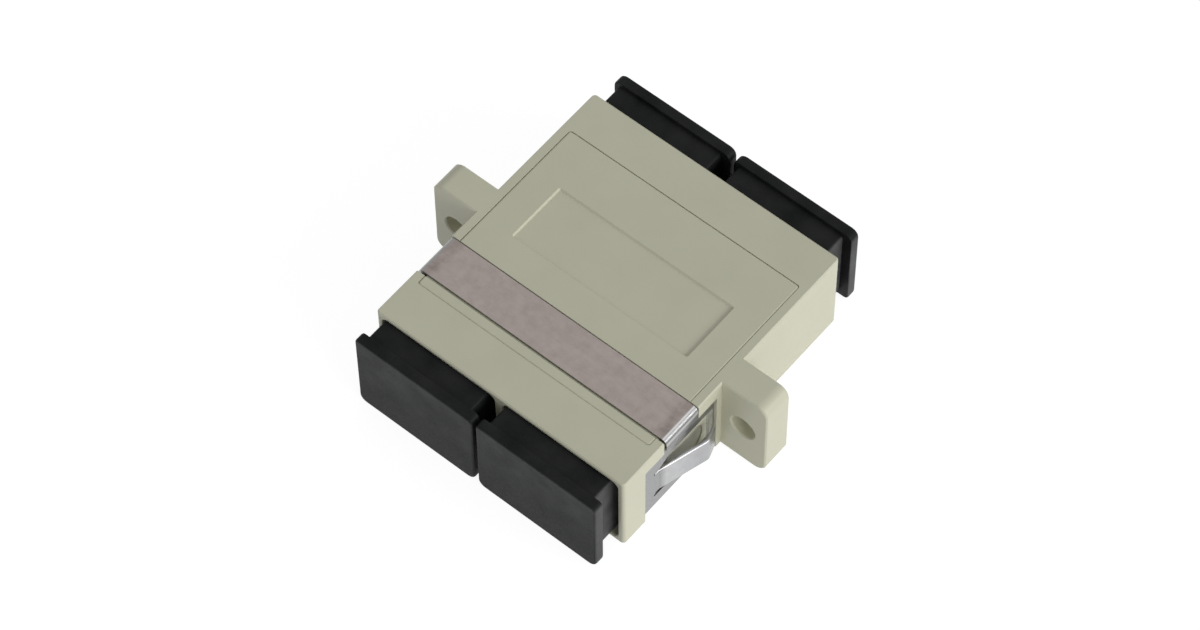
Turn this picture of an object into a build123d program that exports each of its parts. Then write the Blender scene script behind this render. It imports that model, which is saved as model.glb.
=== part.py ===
from build123d import *
import os

# A duplex fibre adapter, panel mounted by two ears, all sizes in millimetres.
# X runs across the two ports, Y along the mating axis (front is -Y), Z is up.
# The origin is the middle of the housing's underside.

# Housing
body_width = 25.8
body_length = 27.6
body_height = 9.3
body_corner_radius = 0.35
body_edge_chamfer = 0.12
port_pitch = 12.7

# Mounting ears
ear_span = 35.0
ear_thickness = 2.9
ear_corner_radius = 1.1
ear_edge_chamfer = 0.12
hole_spacing = 30.2
hole_diameter = 2.4
hole_chamfer = 0.12

# Ports: a shallow mouth, then the tunnel that takes a plug
port_width = 9.0
port_height = 7.4
port_lead_in = 0.3
mouth_width = 11.8
mouth_height = 8.4
mouth_depth = 1.2
mouth_radius = 0.6
mouth_chamfer = 0.1
key_slot_width = 2.4
key_slot_length = 5.5

# Cover, let into the top over both chambers
cover_width = 24.0
cover_length = 19.2
cover_corner_radius = 0.2
cover_edge_chamfer = 0.15
seam_gap = 0.07
label_width = 18.3
label_length = 6.1
label_center_y = 1.7
label_depth = 0.2
label_radius = 0.2

# Spring clip, folded from one strip of spring steel
sheet = 0.3
clip_center_y = -6.5
strip_width = 4.0
strip_recess = 0.02
strip_front_gap = 0.25
strip_rear_gap = 0.1
bend_radius = 0.3
leg_proud = 0.05
leg_joggle = 0.55
recess_depth = 0.6
recess_front_y = -11.1
recess_rear_y = -2.05
recess_roof = 1.6
wing_gap = 0.12
wing_foot_z = 0.45
wing_corner_radius = 0.4
window_front_y = -7.8
window_rear_y = -2.6
window_roof = 1.51
window_radius = 0.25
tongue_width = 3.0
tongue_drop = 1.05
tongue_root_y = -8.95
tongue_crest_y = -4.3
tongue_tip_y = -3.1
tongue_rise = 1.37
tongue_return = 0.42
tongue_bend_radius = 0.5
tongue_edge_radius = 0.2
slit_width = 0.3
slit_front_y = -9.65
pocket_depth = 0.12
pocket_front_y = -8.6
pocket_rear_y = -3.1
pocket_height = 4.0

# Sleeve mounts, two back to back in each chamber
mount_plate_width = 10.0
mount_plate_thickness = 1.5
mount_clearance = 0.05
tube_diameter = 4.2
lip_thickness = 0.5
lip_hole_diameter = 2.9
lip_chamfer = 0.3
hook_inner = 2.75
hook_thickness = 0.7
hook_height = 3.2
hook_length = 7.4
barb_depth = 0.45
barb_catch = 6.55
barb_land = 0.3
hook_tip_width = 0.5

# Split alignment sleeves
sleeve_length = 11.4
sleeve_diameter = 3.2
sleeve_bore = 2.49
sleeve_slit = 0.5
sleeve_chamfer = 0.12
sleeve_clearance = 0.05
sleeve_end_clearance = 0.05

# Dust caps
cap_plate_width = 12.35
cap_plate_height = 9.2
cap_plate_thickness = 1.0
cap_plate_radius = 0.55
cap_edge_chamfer = 0.12
cap_inner_chamfer = 0.1
cap_shoulder_width = 10.9
cap_shoulder_height = 8.3
cap_shoulder_radius = 0.3
cap_shoulder_shift = 0.2
cap_standoff = 2.1
cap_fit = 0.1
cap_plug_length = 6.0
cap_plug_radius = 0.4
cap_hollow_width = 7.4
cap_hollow_height = 5.8

# Places that follow from the sizes above
half_width = body_width / 2
half_length = body_length / 2
axis_z = body_height / 2
port_xs = {"left": -port_pitch / 2, "right": port_pitch / 2}
end_signs = {"front": -1, "rear": 1}
port_floor_z = axis_z - port_height / 2
port_roof_z = axis_z + port_height / 2
cover_thickness = body_height - port_roof_z
channel_floor_z = body_height - sheet - strip_recess
recess_floor_x = half_width - recess_depth
recess_top_z = body_height - recess_roof
wing_top_z = recess_top_z - wing_gap
window_top_z = wing_top_z - window_roof
tongue_middle_z = axis_z - tongue_drop
leg_x = half_width + leg_proud - sheet
mouth_floor_y = half_length - mouth_depth
sleeve_seat_diameter = sleeve_diameter + 2 * sleeve_clearance
sleeve_seat_depth = sleeve_length / 2 + sleeve_end_clearance
tube_length = sleeve_seat_depth + lip_thickness


def block(x0, x1, y0, y1, z0, z1):
    size = (x1 - x0, y1 - y0, z1 - z0)
    middle = ((x0 + x1) / 2, (y0 + y1) / 2, (z0 + z1) / 2)
    return Pos(*middle) * Box(*size)


def prism_y(profile, y0, y1):
    # A profile drawn in X and Z, carried along Y from y0 to y1
    return Pos(0, y1, 0) * extrude(Plane.XZ * profile, y1 - y0)


def port_plane(x, y, sign):
    # Local Z points out of the port at the given end, local Y is up
    return Plane(origin=(x, y, axis_z), x_dir=(-sign, 0, 0), z_dir=(0, sign, 0))


def housing_shell():
    body = Pos(0, 0, axis_z) * Box(body_width, body_length, body_height)
    body = fillet(body.edges().filter_by(Axis.Z), body_corner_radius)
    rims = body.faces().sort_by(Axis.Z)
    body = chamfer(rims[0].edges() + rims[-1].edges(), body_edge_chamfer)
    flange = Plane.XZ * RectangleRounded(ear_span, body_height, ear_corner_radius)
    flange = Pos(0, 0, axis_z) * extrude(flange, ear_thickness / 2, both=True)
    flange = chamfer(flange.edges().filter_by(Plane.XZ), ear_edge_chamfer)
    return body + flange


def ear_holes():
    reach = ear_thickness / 2
    bore = Cylinder(hole_diameter / 2, ear_thickness)
    rim = Pos(0, 0, reach - hole_chamfer / 2) * Cone(
        hole_diameter / 2, hole_diameter / 2 + hole_chamfer, hole_chamfer
    )
    cutter = bore + rim + mirror(rim, about=Plane.XY)
    cutter = Rot(90, 0, 0) * cutter
    return [Pos(side * hole_spacing / 2, 0, axis_z) * cutter for side in (-1, 1)]


def port_cut(x, sign):
    mouth = RectangleRounded(mouth_width, mouth_height, mouth_radius)
    mouth = port_plane(x, sign * mouth_floor_y, sign) * mouth
    mouth = extrude(mouth, mouth_depth)
    rim = RectangleRounded(
        mouth_width + 2 * mouth_chamfer, mouth_height + 2 * mouth_chamfer, mouth_radius + mouth_chamfer
    )
    rim = extrude(port_plane(x, sign * half_length, sign) * rim, -mouth_chamfer, taper=45)
    wide = Rectangle(port_width + 2 * port_lead_in, port_height + 2 * port_lead_in)
    lead_in = extrude(port_plane(x, sign * mouth_floor_y, sign) * wide, -port_lead_in, taper=45)
    tunnel = extrude(port_plane(x, 0, sign) * Rectangle(port_width, port_height), mouth_floor_y)
    slot_length = key_slot_length + mouth_depth
    slot = Rectangle(key_slot_width, port_floor_z + port_lead_in)
    slot = Pos(0, (port_floor_z + port_lead_in) / 2 - axis_z) * slot
    slot = extrude(port_plane(x, sign * half_length, sign) * slot, -slot_length)
    return mouth + rim + lead_in + tunnel + slot


def mount_groove(x):
    groove_half_x = mount_plate_width / 2 + mount_clearance
    groove_half_y = mount_plate_thickness + mount_clearance
    return block(
        x - groove_half_x, x + groove_half_x, -groove_half_y, groove_half_y, port_floor_z, port_roof_z
    )


def cover_window():
    outline = RectangleRounded(
        cover_width + 2 * seam_gap, cover_length + 2 * seam_gap, cover_corner_radius + seam_gap
    )
    return Pos(0, 0, port_roof_z) * extrude(outline, cover_thickness)


def strip_channel(z0, x0, x1):
    front = clip_center_y - strip_width / 2 - strip_front_gap
    rear = clip_center_y + strip_width / 2 + strip_rear_gap
    return block(x0, x1, front, rear, z0, body_height)


def side_recess(side):
    plane = Plane.YZ.offset(side * recess_floor_x)
    height = recess_top_z
    length = recess_rear_y - recess_front_y
    outline = Pos((recess_front_y + recess_rear_y) / 2, height / 2) * Rectangle(length, height)
    recess = extrude(plane * outline, side * recess_depth)
    pocket_length = pocket_rear_y - pocket_front_y
    pocket = SlotOverall(pocket_length, pocket_height)
    pocket = Pos((pocket_front_y + pocket_rear_y) / 2, tongue_middle_z) * pocket
    return recess + extrude(plane * pocket, -side * pocket_depth)


def make_housing():
    housing = housing_shell()
    housing -= ear_holes()
    for x in port_xs.values():
        housing -= mount_groove(x)
        for sign in end_signs.values():
            housing -= port_cut(x, sign)
    housing -= cover_window()
    window_half = cover_width / 2 + seam_gap
    housing -= strip_channel(channel_floor_z, -window_half, window_half)
    for side in (-1, 1):
        leg_x = sorted((side * recess_floor_x, side * half_width))
        rim_x = sorted((side * window_half, side * half_width))
        housing -= side_recess(side)
        housing -= strip_channel(recess_top_z, *leg_x)
        housing -= strip_channel(port_roof_z, *rim_x)
    return housing


def make_cover():
    plate = extrude(RectangleRounded(cover_width, cover_length, cover_corner_radius), cover_thickness)
    plate = chamfer(plate.edges().group_by(Axis.Z)[-1], cover_edge_chamfer)
    cover = Pos(0, 0, port_roof_z) * plate
    label = Pos(0, label_center_y) * RectangleRounded(label_width, label_length, label_radius)
    cover -= Pos(0, 0, body_height) * extrude(label, -label_depth)
    cover -= strip_channel(channel_floor_z, -half_width, half_width)
    return cover


def wing_plate(side):
    front = recess_front_y + wing_gap
    rear = recess_rear_y - wing_gap
    outline = Rectangle(rear - front, wing_top_z - wing_foot_z)
    outline = Pos((front + rear) / 2, (wing_top_z + wing_foot_z) / 2) * outline
    outline = fillet(outline.vertices(), wing_corner_radius)
    low = tongue_middle_z - tongue_width / 2 - slit_width
    high = tongue_middle_z + tongue_width / 2 + slit_width
    root = tongue_root_y - tongue_bend_radius
    window = Polyline(
        (root, low),
        (window_rear_y, low),
        (window_rear_y, window_top_z),
        (window_front_y, window_top_z),
        (tongue_root_y, high),
        (root, high),
        close=True,
    )
    window = make_face(window)
    corners = window.vertices().filter_by_position(Axis.X, window_front_y, window_rear_y)
    outline -= fillet(corners, window_radius)
    for z in (low + slit_width / 2, high - slit_width / 2):
        slit = SlotOverall(root - slit_front_y + slit_width, slit_width)
        outline -= Pos((slit_front_y + root + slit_width) / 2, z) * slit
    return extrude(Plane.YZ.offset(side * recess_floor_x) * outline, side * sheet)


def wing_tongue(side):
    x = recess_floor_x
    points = [
        (x, slit_front_y),
        (x, tongue_root_y),
        (x + tongue_rise, tongue_crest_y),
        (x + tongue_rise - tongue_return, tongue_tip_y),
    ]
    path = FilletPolyline(*points, radius=tongue_bend_radius)
    section = Rectangle(sheet, tongue_width, align=(Align.MIN, Align.CENTER))
    section = fillet(section.vertices().group_by(Axis.X)[-1], tongue_edge_radius)
    start = Plane(origin=path @ 0, x_dir=(1, 0, 0), z_dir=path % 0)
    tongue = Pos(0, 0, tongue_middle_z) * sweep(start * section, path)
    return tongue if side > 0 else mirror(tongue, about=Plane.YZ)


def make_spring_clip():
    right_leg = [
        (leg_x, channel_floor_z),
        (leg_x, wing_top_z + leg_joggle),
        (recess_floor_x, wing_top_z),
        (recess_floor_x, wing_top_z - wing_corner_radius),
    ]
    left_leg = [(-x, z) for x, z in reversed(right_leg)]
    # The path is the sheet's inner line, so the one fold that turns back gets the sheet added to its radius
    back_fold = bend_radius + sheet
    radii = [back_fold, bend_radius, bend_radius, bend_radius, bend_radius, back_fold]
    path = FilletPolyline(*left_leg, *right_leg, radius=radii)
    strip = make_face(offset(path, amount=sheet, side=Side.LEFT, closed=True))
    reach = strip_width / 2
    clip = prism_y(strip, clip_center_y - reach, clip_center_y + reach)
    for side in (-1, 1):
        clip += wing_plate(side)
        clip += wing_tongue(side)
    return clip


def make_sleeve_mount(x, sign):
    base = port_plane(x, 0, sign)
    plate_height = port_height - mount_clearance
    plate = extrude(base * Rectangle(mount_plate_width, plate_height), mount_plate_thickness)
    plate = Pos(0, 0, -mount_clearance / 2) * plate
    mount = plate + extrude(base * Circle(tube_diameter / 2), tube_length)
    outer = hook_inner + hook_thickness
    hook_points = [
        (hook_inner, 0),
        (outer, 0),
        (outer, hook_length),
        (outer - hook_tip_width, hook_length),
        (hook_inner - barb_depth, barb_catch + barb_land),
        (hook_inner - barb_depth, barb_catch),
        (hook_inner, barb_catch),
    ]
    hook = make_face(Polyline(*hook_points, close=True))
    for across in (-1, 1):
        half = hook_height / 2
        plane = Plane(origin=(x, 0, axis_z), x_dir=(across, 0, 0), z_dir=(0, 0, across * sign))
        mount += extrude(plane * hook, half, both=True)
    mount -= extrude(base * Circle(sleeve_seat_diameter / 2), sleeve_seat_depth)
    mount -= extrude(base * Circle(lip_hole_diameter / 2), tube_length)
    mouth = Circle(lip_hole_diameter / 2 + lip_chamfer)
    mount -= extrude(base.offset(tube_length) * mouth, -lip_chamfer, taper=45)
    return mount


def make_split_sleeve(x):
    tube = Cylinder(sleeve_diameter / 2, sleeve_length)
    tube -= Cylinder(sleeve_bore / 2, sleeve_length)
    inner = tube.edges().filter_by(GeomType.CIRCLE).group_by(SortBy.RADIUS)[0]
    tube = chamfer(inner, sleeve_chamfer)
    slit = block(-sleeve_slit / 2, sleeve_slit / 2, 0, sleeve_diameter, -sleeve_length, sleeve_length)
    return Pos(x, 0, axis_z) * Rot(90, 0, 0) * (tube - slit)


def make_dust_cap(x, sign):
    # Drawn on the floor of the port's mouth, with +Z as the way out
    # The shoulder is off the middle, and a rear cap is a front one turned over about X
    shoulder_length = mouth_depth + cap_standoff
    plate = extrude(
        RectangleRounded(cap_plate_width, cap_plate_height, cap_plate_radius), cap_plate_thickness
    )
    plate = chamfer(plate.edges().group_by(Axis.Z)[-1], cap_edge_chamfer)
    plate = chamfer(plate.edges().group_by(Axis.Z)[0], cap_inner_chamfer)
    cap = Pos(0, 0, shoulder_length) * plate
    shoulder = RectangleRounded(cap_shoulder_width, cap_shoulder_height, cap_shoulder_radius)
    cap += extrude(Pos(-cap_shoulder_shift, 0) * shoulder, shoulder_length)
    plug = RectangleRounded(port_width - 2 * cap_fit, port_height - 2 * cap_fit, cap_plug_radius)
    cap += extrude(plug, -cap_plug_length)
    hollow = extrude(Rectangle(cap_hollow_width, cap_hollow_height), cap_plug_length + shoulder_length)
    cap -= Pos(0, 0, -cap_plug_length) * hollow
    base = Plane(origin=(x, sign * mouth_floor_y, axis_z), x_dir=(1, 0, 0), z_dir=(0, sign, 0))
    return base.location * cap


def save(solid, node):
    export_step(solid, os.path.join("parts", node + ".step"))


def main():
    os.makedirs("parts", exist_ok=True)
    save(make_housing(), "housing")
    save(make_cover(), "cover")
    save(make_spring_clip(), "spring_clip")
    for side, x in port_xs.items():
        save(make_split_sleeve(x), "split_sleeve_" + side)
        for end, sign in end_signs.items():
            place = end + "_" + side
            save(make_sleeve_mount(x, sign), "sleeve_mount_" + place)
            save(make_dust_cap(x, sign), "dust_cap_" + place)


main()
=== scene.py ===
import bmesh
import bpy
import math
from mathutils import Matrix, Vector


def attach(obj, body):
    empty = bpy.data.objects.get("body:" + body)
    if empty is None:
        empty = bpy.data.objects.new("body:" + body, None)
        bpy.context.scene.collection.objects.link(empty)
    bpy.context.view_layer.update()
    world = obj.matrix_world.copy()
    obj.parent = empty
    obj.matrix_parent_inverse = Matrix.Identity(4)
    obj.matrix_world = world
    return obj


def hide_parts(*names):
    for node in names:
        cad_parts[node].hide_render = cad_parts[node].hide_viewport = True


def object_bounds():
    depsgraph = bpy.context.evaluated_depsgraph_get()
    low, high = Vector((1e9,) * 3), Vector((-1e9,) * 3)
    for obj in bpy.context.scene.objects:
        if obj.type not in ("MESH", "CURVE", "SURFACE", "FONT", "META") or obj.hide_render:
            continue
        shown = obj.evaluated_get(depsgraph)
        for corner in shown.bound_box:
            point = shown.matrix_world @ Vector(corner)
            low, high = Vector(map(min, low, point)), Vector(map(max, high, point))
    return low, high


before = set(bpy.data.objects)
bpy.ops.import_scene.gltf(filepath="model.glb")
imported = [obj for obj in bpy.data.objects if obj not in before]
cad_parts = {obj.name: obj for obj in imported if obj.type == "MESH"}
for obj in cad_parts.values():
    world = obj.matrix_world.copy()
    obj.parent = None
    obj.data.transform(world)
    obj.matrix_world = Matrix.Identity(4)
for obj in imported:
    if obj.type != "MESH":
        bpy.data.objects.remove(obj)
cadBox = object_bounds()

print("frame loaded:", len(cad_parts), "pieces")

mm = 0.001


# Material helpers

def newMaterial(name):
    material = bpy.data.materials.new(name)
    material.use_nodes = True
    tree = material.node_tree
    return material, tree, tree.nodes["Principled BSDF"]


def millimetres(tree, stretch=(1.0, 1.0, 1.0)):
    # object coordinates counted in millimetres, so a noise scale is features per millimetre
    place = tree.nodes.new("ShaderNodeTexCoord")
    mapping = tree.nodes.new("ShaderNodeMapping")
    mapping.inputs["Scale"].default_value = [share / mm for share in stretch]
    tree.links.new(place.outputs["Object"], mapping.inputs["Vector"])
    return mapping.outputs["Vector"]


def noise(tree, coords, scale, detail, roughness):
    node = tree.nodes.new("ShaderNodeTexNoise")
    node.inputs["Scale"].default_value = scale
    node.inputs["Detail"].default_value = detail
    node.inputs["Roughness"].default_value = roughness
    tree.links.new(coords, node.inputs["Vector"])
    return node.outputs["Fac"]


def calculate(tree, operation, *terms):
    # each term is a number or another node's output
    node = tree.nodes.new("ShaderNodeMath")
    node.operation = operation
    for socket, term in zip(node.inputs, terms):
        if isinstance(term, float):
            socket.default_value = term
        else:
            tree.links.new(term, socket)
    return node.outputs["Value"]


def spread(tree, value, low, high, fromLow=0.35, fromHigh=0.65):
    # most of a noise lies between 0.35 and 0.65
    node = tree.nodes.new("ShaderNodeMapRange")
    node.inputs["From Min"].default_value = fromLow
    node.inputs["From Max"].default_value = fromHigh
    node.inputs["To Min"].default_value = low
    node.inputs["To Max"].default_value = high
    tree.links.new(value, node.inputs["Value"])
    return node.outputs["Result"]


def rampColours(tree, value, stops):
    node = tree.nodes.new("ShaderNodeValToRGB")
    ramp = node.color_ramp
    for i, (position, colour) in enumerate(stops):
        # a new ramp has two stops already
        stop = ramp.elements[i] if i < 2 else ramp.elements.new(position)
        stop.position = position
        stop.color = (*colour, 1.0)
    tree.links.new(value, node.inputs["Fac"])
    return node.outputs["Color"]


def relief(tree, shader, heights, depth):
    # depth is the relief's height in millimetres
    node = tree.nodes.new("ShaderNodeBump")
    node.inputs["Strength"].default_value = 1.0
    node.inputs["Distance"].default_value = depth * mm
    tree.links.new(heights, node.inputs["Height"])
    tree.links.new(node.outputs["Normal"], shader.inputs["Normal"])


def varyGloss(tree, shader, pattern, look, drift):
    rough = spread(tree, pattern, look["roughness"] - drift, look["roughness"] + drift)
    tree.links.new(rough, shader.inputs["Roughness"])


def along(tree, coords, axis):
    parts = tree.nodes.new("ShaderNodeSeparateXYZ")
    tree.links.new(coords, parts.inputs["Vector"])
    return parts.outputs[axis]


def axisMask(tree, coords, axis, start, end):
    # from 0 at start to 1 at end, both counted in millimetres from the middle, either way
    distance = calculate(tree, "ABSOLUTE", along(tree, coords, axis))
    return spread(tree, distance, 0.0, 1.0, start, end)


# the mask of the right half comes in over this many millimetres on each side of the middle
middleFade = 1.0


def zoneMask(tree, coords, zone):
    # a zone lies where the masks of all the axes that bound it are 1
    masks = [axisMask(tree, coords, axis, *zone[axis]) for axis in "XYZ" if axis in zone]
    if zone.get("rightOnly"):
        masks.append(spread(tree, along(tree, coords, "X"), 0.0, 1.0, -middleFade, middleFade))
    total = masks[0]
    for mask in masks[1:]:
        total = calculate(tree, "MULTIPLY", total, mask)
    return total


def blend(tree, mask, first, second):
    node = tree.nodes.new("ShaderNodeMix")
    node.data_type = "RGBA"
    tree.links.new(mask, node.inputs["Factor"])
    for name, value in (("A", first), ("B", second)):
        socket = [s for s in node.inputs if s.name == name and s.type == "RGBA"][0]
        tree.links.new(value, socket)
    return [s for s in node.outputs if s.type == "RGBA"][0]


def bandColours(tree, coords, bands):
    # painted greys by height: painted reflections and a painted highlight that run along a fold
    low, high = bands[0][0], bands[-1][0]
    height = spread(tree, along(tree, coords, "Z"), 0.0, 1.0, low, high)
    stops = [((z - low) / (high - low), (grey, grey, grey)) for z, grey in bands]
    return rampColours(tree, height, stops)


def shadePair(tree, pattern, look, pair):
    stops = [(look["stopLow"], pair["shade"]), (look["stopHigh"], pair["colour"])]
    return rampColours(tree, pattern, stops)


def tintZones(tree, coords, pattern, look):
    # two shades of one colour by the pattern, and other shades in the look's zones, which here hold
    # painted light, shade and reflections
    colour = shadePair(tree, pattern, look, look)
    for zone in look.get("zones", []):
        if "bands" in zone:
            tint = bandColours(tree, coords, zone["bands"])
        else:
            tint = shadePair(tree, pattern, look, zone)
        colour = blend(tree, zoneMask(tree, coords, zone), colour, tint)
    return colour


plasticNoise = {"detail": 3.0, "driftRoughness": 0.5, "grainRoughness": 0.6, "glossDrift": 0.06}
steelNoise = {"detail": 4.0, "streakRoughness": 0.6, "mottleRoughness": 0.65, "glossDrift": 0.07}


def mouldedPlastic(name, look):
    # satin moulding: slow drift in the colour, fine grain from the mould's face
    material, tree, shader = newMaterial(name)
    coords = millimetres(tree)
    own = plasticNoise
    drift = noise(tree, coords, look["driftScale"], own["detail"], own["driftRoughness"])
    grain = noise(tree, coords, look["grainScale"], own["detail"], own["grainRoughness"])
    pattern = calculate(tree, "MULTIPLY_ADD", grain, look["grainInColour"], drift)
    colour = tintZones(tree, coords, pattern, look)
    tree.links.new(colour, shader.inputs["Base Color"])
    shader.inputs["Specular IOR Level"].default_value = look["specular"]
    varyGloss(tree, shader, grain, look, own["glossDrift"])
    relief(tree, shader, grain, look["depth"])
    return material


def rolledMetal(name, look):
    # fine rolling streaks along one axis and a light mottle over them
    material, tree, shader = newMaterial(name)
    coords = millimetres(tree)
    drawn = millimetres(tree, look["streakStretch"])
    own = steelNoise
    streaks = noise(tree, drawn, look["streakScale"], own["detail"], own["streakRoughness"])
    mottle = noise(tree, coords, look["mottleScale"], own["detail"], own["mottleRoughness"])
    pattern = calculate(tree, "MULTIPLY_ADD", streaks, look["streakShare"], mottle)
    colour = tintZones(tree, coords, pattern, look)
    tree.links.new(colour, shader.inputs["Base Color"])
    shader.inputs["Metallic"].default_value = 1.0
    varyGloss(tree, shader, mottle, look, own["glossDrift"])
    relief(tree, shader, pattern, look["depth"])
    return material


# Housing, cover and sleeve mounts: beige plastic, paler on the mounts inside

beigeLook = {
    "colour": (0.615, 0.605, 0.468), "shade": (0.588, 0.579, 0.446),
    "stopLow": 0.45, "stopHigh": 0.85, "driftScale": 0.25, "grainScale": 9.0,
    "grainInColour": 0.35, "roughness": 0.42, "specular": 0.4, "depth": 0.004,
}
coverLook = dict(beigeLook, colour=(0.612, 0.602, 0.465), shade=(0.585, 0.576, 0.443))
innerLook = dict(beigeLook, colour=(0.70, 0.69, 0.60), shade=(0.67, 0.66, 0.57))

# Dust caps: black plastic, with a painted reflection that grows lighter towards the top of the
# outer faces and painted lamp light on the outer sides.
# An axis of a zone gives the distances from the middle where its mask is 0 and 1.

# painted reflection on the outer faces, lighter towards their top
capFacePaintedSheen = {"colour": (0.055, 0.057, 0.057), "shade": (0.011, 0.012, 0.012)}
# painted lamp light on the outer sides of the plates and shoulders
capSidePaintedLight = {"colour": (0.09, 0.091, 0.091), "shade": (0.045, 0.046, 0.046)}
capPaintedLightZones = [
    dict(capFacePaintedSheen, Y=(16.8, 16.88), Z=(2.5, 9.2)),
    dict(capSidePaintedLight, X=(12.4, 12.5)),
    dict(capSidePaintedLight, X=(11.45, 11.57), Y=(15.9, 15.85), rightOnly=True),
]
capLook = {
    "colour": (0.019, 0.0195, 0.0195), "shade": (0.006, 0.007, 0.007),
    "stopLow": 0.5, "stopHigh": 0.9, "driftScale": 0.35, "grainScale": 7.0,
    "grainInColour": 0.4, "roughness": 0.5, "specular": 0.1, "depth": 0.012, "zones": capPaintedLightZones,
}

# Spring clip: painted reflections on the tongues, painted light on the wing's rear rim, painted
# shade over the window, painted reflection bands and a painted highlight where it folds down over
# the side, and a warm painted reflection on the flat top

# painted reflections and a painted highlight, grey by height, down the fold
foldPaintedReflections = [
    (7.8, 0.4), (8.1, 0.3), (8.25, 0.2), (8.4, 0.21), (8.55, 0.3), (8.7, 0.5), (8.85, 0.5),
    (8.92, 0.36), (8.97, 0.19), (9.06, 0.2), (9.13, 0.28), (9.2, 0.43), (9.25, 0.8), (9.28, 0.78),
]
# painted reflections on the tongues, brighter at the foot than at the crest
tongueFootPaintedReflection = {"colour": (0.56, 0.565, 0.57), "shade": (0.48, 0.485, 0.49)}
tongueCrestPaintedReflection = {"colour": (0.47, 0.475, 0.485), "shade": (0.40, 0.405, 0.415)}
# painted light on the wing's rear rim, brightening it where it lies in shade
rearRimPaintedLight = {"colour": (0.74, 0.74, 0.76), "shade": (0.66, 0.66, 0.68)}
# painted shade on the wing over the window
overWindowPaintedShade = {"colour": (0.33, 0.33, 0.325), "shade": (0.27, 0.27, 0.265)}
# warm painted reflection on the flat top, darker at its ends near the folds
topEndsPaintedReflection = {"colour": (0.37, 0.32, 0.30), "shade": (0.27, 0.232, 0.217)}
topMiddlePaintedReflection = {"colour": (0.425, 0.368, 0.345), "shade": (0.362, 0.311, 0.29)}
clipPaintedLightZones = [
    dict(tongueFootPaintedReflection, X=(12.62, 12.8)),
    dict(tongueCrestPaintedReflection, X=(13.1, 13.7)),
    dict(rearRimPaintedLight, Y=(2.75, 2.6), rightOnly=True),
    dict(overWindowPaintedShade, Y=(8.7, 8.3), Z=(5.95, 6.15)),
    {"bands": foldPaintedReflections, "Z": (7.6, 7.75), "rightOnly": True},
    dict(topEndsPaintedReflection, Z=(9.255, 9.278)),
    dict(topMiddlePaintedReflection, X=(11.9, 11.3), Z=(9.255, 9.278)),
]
steelLook = {
    "colour": (0.345, 0.348, 0.35), "shade": (0.285, 0.287, 0.288),
    "stopLow": 0.5, "stopHigh": 0.85, "streakStretch": (0.25, 1.0, 1.0), "streakScale": 3.0,
    "streakShare": 0.35, "mottleScale": 1.1, "roughness": 0.33, "depth": 0.002,
    "zones": clipPaintedLightZones,
}

# Split sleeves: bronze, drawn along their axis

bronzeLook = {
    "colour": (0.75, 0.52, 0.30), "shade": (0.62, 0.42, 0.24),
    "stopLow": 0.6, "stopHigh": 1.05, "streakStretch": (1.0, 0.1, 1.0), "streakScale": 6.0,
    "streakShare": 0.6, "mottleScale": 3.0, "roughness": 0.3, "depth": 0.002,
}

coverPlastic = mouldedPlastic("coverPlastic", coverLook)
capPlastic = mouldedPlastic("capPlastic", capLook)
finishes = {
    "housing": mouldedPlastic("beigePlastic", beigeLook),
    "cover": coverPlastic,
    "sleeve_mount": mouldedPlastic("innerPlastic", innerLook),
    "dust_cap": capPlastic,
    "spring_clip": rolledMetal("clipSteel", steelLook),
    "split_sleeve": rolledMetal("sleeveBronze", bronzeLook),
}


def dress(piece, material):
    piece.data.materials.clear()
    piece.data.materials.append(material)


for node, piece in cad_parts.items():
    for start, material in finishes.items():
        if node.startswith(start):
            dress(piece, material)
print("materials done")


# Modelling helpers: a piece is drawn in millimetres and brought to metres when it is finished

aligned = 0.9       # how far a direction points along an axis to count as running along it
near = 0.01         # millimetres within which a place counts as on a plane
sharpAngle = 35.0   # degrees past which an edge stays sharp


def addBlock(name, size, middle):
    bpy.ops.object.select_all(action="DESELECT")
    bpy.ops.mesh.primitive_cube_add(size=1.0, location=middle, scale=size)
    bpy.ops.object.transform_apply(location=True, rotation=True, scale=True)
    block = bpy.context.object
    block.name = name
    return block


def pick(piece, kind, test):
    # selects in edit mode the faces or edges that pass the test, by their middle and direction
    bpy.ops.mesh.select_mode(type="FACE" if kind == "faces" else "EDGE")
    bpy.ops.mesh.select_all(action="DESELECT")
    mesh = bmesh.from_edit_mesh(piece.data)
    for item in getattr(mesh, kind):
        if kind == "faces":
            middle, direction = item.calc_center_median(), item.normal
        else:
            first, second = (vert.co for vert in item.verts)
            middle, direction = (first + second) / 2, (second - first).normalized()
        if test(middle, direction):
            item.select_set(True)
    mesh.select_flush_mode()
    bmesh.update_edit_mesh(piece.data)


def roundEdges(piece, shape, segments, tests):
    # each test picks edges, which get the radius and the segments that stand under its name
    bpy.ops.object.mode_set(mode="EDIT")
    for name, test in tests.items():
        if name in shape:
            pick(piece, "edges", test)
            bpy.ops.mesh.bevel(
                offset=shape[name], segments=segments[name], affect="EDGES", clamp_overlap=True)
    bpy.ops.object.mode_set(mode="OBJECT")


def combine(piece, other, operation):
    bpy.ops.object.select_all(action="DESELECT")
    bpy.context.view_layer.objects.active = piece
    join = piece.modifiers.new("join", "BOOLEAN")
    join.operation = operation
    join.solver = "EXACT"
    join.object = other
    bpy.ops.object.modifier_apply(modifier=join.name)
    bpy.data.objects.remove(other, do_unlink=True)


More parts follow.
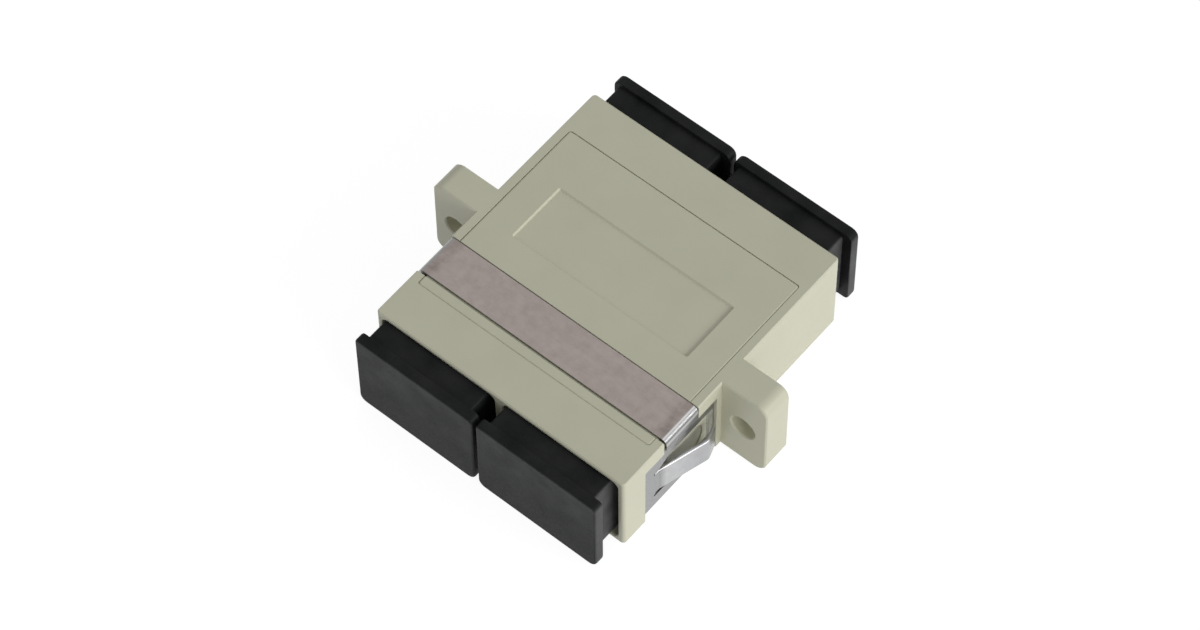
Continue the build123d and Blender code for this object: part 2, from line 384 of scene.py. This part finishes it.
def finishPiece(piece, material):
    bpy.ops.object.select_all(action="DESELECT")
    piece.select_set(True)
    bpy.context.view_layer.objects.active = piece
    bpy.ops.object.mode_set(mode="EDIT")
    bpy.ops.mesh.select_all(action="SELECT")
    bpy.ops.mesh.normals_make_consistent(inside=False)
    bpy.ops.object.mode_set(mode="OBJECT")
    bpy.ops.object.shade_smooth_by_angle(angle=math.radians(sharpAngle))
    flatten = piece.modifiers.new("flatten", "WEIGHTED_NORMAL")
    flatten.keep_sharp = True
    bpy.ops.object.modifier_apply(modifier=flatten.name)
    piece.data.transform(Matrix.Scale(mm, 4))
    dress(piece, material)


# Dust caps: a rounded plate, a shoulder off its middle, and a hollow plug

capShape = {
    "plateWidth": 12.35, "plateHeight": 9.2, "plateThickness": 1.0,
    "topCorner": 0.45, "bottomCorner": 0.75, "frontEdge": 0.2, "backEdge": 0.12,
    "mouthFloor": 12.6, "axisHeight": 4.65, "portReach": 6.35,
}
shoulderShape = {
    "width": 10.9, "height": 8.3, "length": 3.3, "shift": -0.2, "corner": 0.3, "endEdge": 0.12,
}
plugShape = {"width": 8.8, "height": 7.2, "length": 6.0, "corner": 0.4, "endEdge": 0.2}
hollowShape = {"width": 7.4, "height": 5.8, "corner": 0.15, "past": 0.5}
capSegments = {
    "topCorner": 4, "bottomCorner": 5, "frontEdge": 3, "backEdge": 2, "corner": 3, "endEdge": 2,
}


def addStep(name, shape, x, startY, endY):
    # a block along the cap's axis, rounded along its length and softened at its inner end
    size = (shape["width"], endY - startY, shape["height"])
    block = addBlock(name, size, (x, (startY + endY) / 2, capShape["axisHeight"]))
    roundEdges(block, shape, capSegments, {
        "corner": lambda at, way: abs(way.y) > aligned,
        "endEdge": lambda at, way: abs(at.y - endY) < near,
    })
    return block


def drawCap():
    shape = capShape
    axis = shape["axisHeight"]
    floorY = -shape["mouthFloor"]
    backY = floorY - shoulderShape["length"]
    frontY = backY - shape["plateThickness"]
    plugY = floorY + plugShape["length"]
    hollowY = plugY + hollowShape["past"]
    middleY = (frontY + backY) / 2
    bottom = axis - shape["plateHeight"] / 2
    size = (shape["plateWidth"], shape["plateThickness"], shape["plateHeight"])
    cap = addBlock("dustCap", size, (0.0, middleY, axis))
    roundEdges(cap, shape, capSegments, {
        "topCorner": lambda at, way: abs(way.y) > aligned and at.z > axis,
        "bottomCorner": lambda at, way: abs(way.y) > aligned and at.z < bottom + near,
        "frontEdge": lambda at, way: abs(at.y - frontY) < near,
        "backEdge": lambda at, way: abs(at.y - backY) < near,
    })
    # the shoulder starts inside the plate and the plug inside the shoulder, so that they join
    shoulder = addStep("shoulder", shoulderShape, shoulderShape["shift"], middleY, floorY)
    combine(cap, shoulder, "UNION")
    combine(cap, addStep("plug", plugShape, 0.0, (backY + floorY) / 2, plugY), "UNION")
    combine(cap, addStep("hollow", hollowShape, 0.0, backY, hollowY), "DIFFERENCE")
    finishPiece(cap, capPlastic)
    return cap


def placeCaps():
    # a rear cap is the front one turned over about the ports' height
    model = drawCap()
    axis = capShape["axisHeight"] * mm
    lift, lower = Matrix.Translation((0, 0, axis)), Matrix.Translation((0, 0, -axis))
    turned = lift @ Matrix.Rotation(math.pi, 4, "X") @ lower
    for end, turn in (("front", Matrix.Identity(4)), ("rear", turned)):
        for side, way in (("left", -1), ("right", 1)):
            node = "dust_cap_" + end + "_" + side
            cap = model.copy()
            cap.data = model.data.copy()
            cap.name = node + "_moulded"
            bpy.context.scene.collection.objects.link(cap)
            across = Matrix.Translation((way * capShape["portReach"] * mm, 0, 0))
            cap.data.transform(across @ turn)
            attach(cap, "cap_" + end + "_" + side)
            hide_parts(node)
    bpy.data.objects.remove(model, do_unlink=True)


# Cover: a thin lid with a sunk label field and a groove for the clip, all its edges softened

coverShape = {
    "width": 24.1, "length": 19.3, "bottom": 8.35, "top": 9.3,
    "corner": 0.25, "topEdge": 0.17, "softening": 0.05, "softenedPast": 50.0,
}
labelShape = {
    "width": 18.42, "length": 6.25, "middle": 1.775, "depth": 0.2, "corner": 0.2,
    "leftSlope": 0.22, "rearSlope": 0.3,
}
grooveShape = {"front": -8.75, "rear": -4.4, "floor": 8.98, "past": 1.0}
coverSegments = {"corner": 3, "topEdge": 3, "softening": 3}


def upright(at, way):
    return abs(way.z) > aligned


def addLabelCutter():
    # its underside shrinks towards the right front corner, so the left and rear walls slope
    shape = labelShape
    size = (shape["width"], shape["length"], 2 * shape["depth"])
    label = addBlock("labelCutter", size, (0.0, shape["middle"], coverShape["top"]))
    roundEdges(label, shape, coverSegments, {"corner": upright})
    bpy.ops.object.mode_set(mode="EDIT")
    pick(label, "faces", lambda at, way: way.z < -aligned)
    shrinkX = 1 - shape["leftSlope"] / shape["width"]
    shrinkY = 1 - shape["rearSlope"] / shape["length"]
    corner = (shape["width"] / 2, shape["middle"] - shape["length"] / 2, 0.0)
    bpy.ops.transform.resize(value=(shrinkX, shrinkY, 1.0), center_override=corner)
    bpy.ops.object.mode_set(mode="OBJECT")
    return label


def addGrooveCutter():
    shape = grooveShape
    length = shape["rear"] - shape["front"]
    depth = 2 * (coverShape["top"] - shape["floor"])
    size = (coverShape["width"] + 2 * shape["past"], length, depth)
    middle = (0.0, (shape["rear"] + shape["front"]) / 2, coverShape["top"])
    return addBlock("grooveCutter", size, middle)


def buildCover():
    shape = coverShape
    size = (shape["width"], shape["length"], shape["top"] - shape["bottom"])
    middle = (0.0, 0.0, (shape["top"] + shape["bottom"]) / 2)
    cover = addBlock("cover_moulded", size, middle)
    roundEdges(cover, shape, coverSegments, {
        "corner": upright,
        "topEdge": lambda at, way: at.z > shape["top"] - near,
    })
    combine(cover, addLabelCutter(), "DIFFERENCE")
    combine(cover, addGrooveCutter(), "DIFFERENCE")
    soften = cover.modifiers.new("soften", "BEVEL")
    soften.width = shape["softening"]
    soften.segments = coverSegments["softening"]
    soften.limit_method = "ANGLE"
    soften.angle_limit = math.radians(shape["softenedPast"])
    bpy.ops.object.modifier_apply(modifier=soften.name)
    finishPiece(cover, coverPlastic)
    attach(cover, "adapter")
    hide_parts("cover")


placeCaps()
buildCover()
print("caps and cover done")


# Studio: white floor, plain soft light from the right, camera from above at the front right

stage = {
    "size": 1.6, "gap": 0.01, "colour": (0.9, 0.9, 0.9), "roughness": 0.9,
    "shadowShare": 0.25, "glow": 1.2,
}
world = {"ambient": 0.43, "ambientColour": (0.98, 0.99, 1.0), "background": 1.0}
keyLamp = {
    "azimuth": 93.0, "elevation": 23.0, "distance": 1.4,
    "width": 1.36, "height": 0.56, "power": 11.5,
}
camera = {
    "lens": 132.78, "sensor": 36.0, "clipStart": 0.01, "distance": 361.21,
    "azimuth": 40.044, "elevation": 57.937, "roll": 0.613, "aim": (-0.569, -0.454, 4.65),
}


def rayPick(tree):
    # 1 for what the camera sees directly, in a reflection or through glass
    paths = tree.nodes.new("ShaderNodeLightPath")
    total = paths.outputs["Is Camera Ray"]
    for name in ("Is Glossy Ray", "Is Transmission Ray"):
        total = calculate(tree, "MAXIMUM", total, paths.outputs[name])
    return total


def mixShaders(tree, factor, first, second, surface):
    node = tree.nodes.new("ShaderNodeMixShader")
    for socket, output in zip(node.inputs, (factor, first, second)):
        tree.links.new(output, socket)
    tree.links.new(node.outputs["Shader"], surface)


def buildFloor():
    # just under the part, so that no face lies in the floor's plane
    height = cadBox[0][2] - stage["gap"] * mm
    bpy.ops.object.select_all(action="DESELECT")
    bpy.ops.mesh.primitive_plane_add(size=stage["size"], location=(0, 0, height))
    floor = bpy.context.object
    floor.name = "floor"
    material, tree, shader = newMaterial("whiteFloor")
    shader.inputs["Base Color"].default_value = (*stage["colour"], 1.0)
    shader.inputs["Roughness"].default_value = stage["roughness"]
    glow = tree.nodes.new("ShaderNodeEmission")
    glow.inputs["Strength"].default_value = stage["glow"]
    share = calculate(tree, "MULTIPLY", rayPick(tree), 1.0 - stage["shadowShare"])
    surface = tree.nodes["Material Output"].inputs["Surface"]
    mixShaders(tree, share, shader.outputs["BSDF"], glow.outputs["Emission"], surface)
    floor.data.materials.append(material)


def buildWorld():
    studio = bpy.data.worlds.new("studio")
    bpy.context.scene.world = studio
    studio.use_nodes = True
    tree = studio.node_tree
    soft = tree.nodes["Background"]
    soft.inputs["Color"].default_value = (*world["ambientColour"], 1.0)
    soft.inputs["Strength"].default_value = world["ambient"]
    white = tree.nodes.new("ShaderNodeBackground")
    white.inputs["Strength"].default_value = world["background"]
    surface = tree.nodes["World Output"].inputs["Surface"]
    first, second = soft.outputs["Background"], white.outputs["Background"]
    mixShaders(tree, rayPick(tree), first, second, surface)


def awayFrom(azimuth, elevation):
    # unit vector towards a viewer at this azimuth (0 is the front, 90 the right side) and elevation
    a, e = math.radians(azimuth), math.radians(elevation)
    return Vector((math.sin(a) * math.cos(e), -math.cos(a) * math.cos(e), math.sin(e)))


def addToScene(name, data):
    holder = bpy.data.objects.new(name, data)
    bpy.context.scene.collection.objects.link(holder)
    return holder


def addLamp(name, lamp):
    light = bpy.data.lights.new(name, "AREA")
    light.shape = "RECTANGLE"
    light.size = lamp["width"]
    light.size_y = lamp["height"]
    light.energy = lamp["power"]
    holder = addToScene(name, light)
    direction = awayFrom(lamp["azimuth"], lamp["elevation"])
    holder.location = direction * lamp["distance"]
    holder.rotation_euler = direction.to_track_quat("Z", "Y").to_euler()


def addCamera():
    lens = bpy.data.cameras.new("camera")
    lens.sensor_width = camera["sensor"]
    lens.lens = camera["lens"]
    lens.clip_start = camera["clipStart"]
    holder = addToScene("camera", lens)
    direction = awayFrom(camera["azimuth"], camera["elevation"])
    holder.location = (Vector(camera["aim"]) + direction * camera["distance"]) * mm
    level = direction.to_track_quat("Z", "Y").to_matrix().to_4x4()
    rolled = level @ Matrix.Rotation(math.radians(-camera["roll"]), 4, "Z")
    holder.rotation_euler = rolled.to_euler()
    bpy.context.scene.camera = holder


buildFloor()
buildWorld()
addLamp("keyLamp", keyLamp)
addCamera()
bpy.context.scene.view_settings.view_transform = "Standard"
print("studio done")
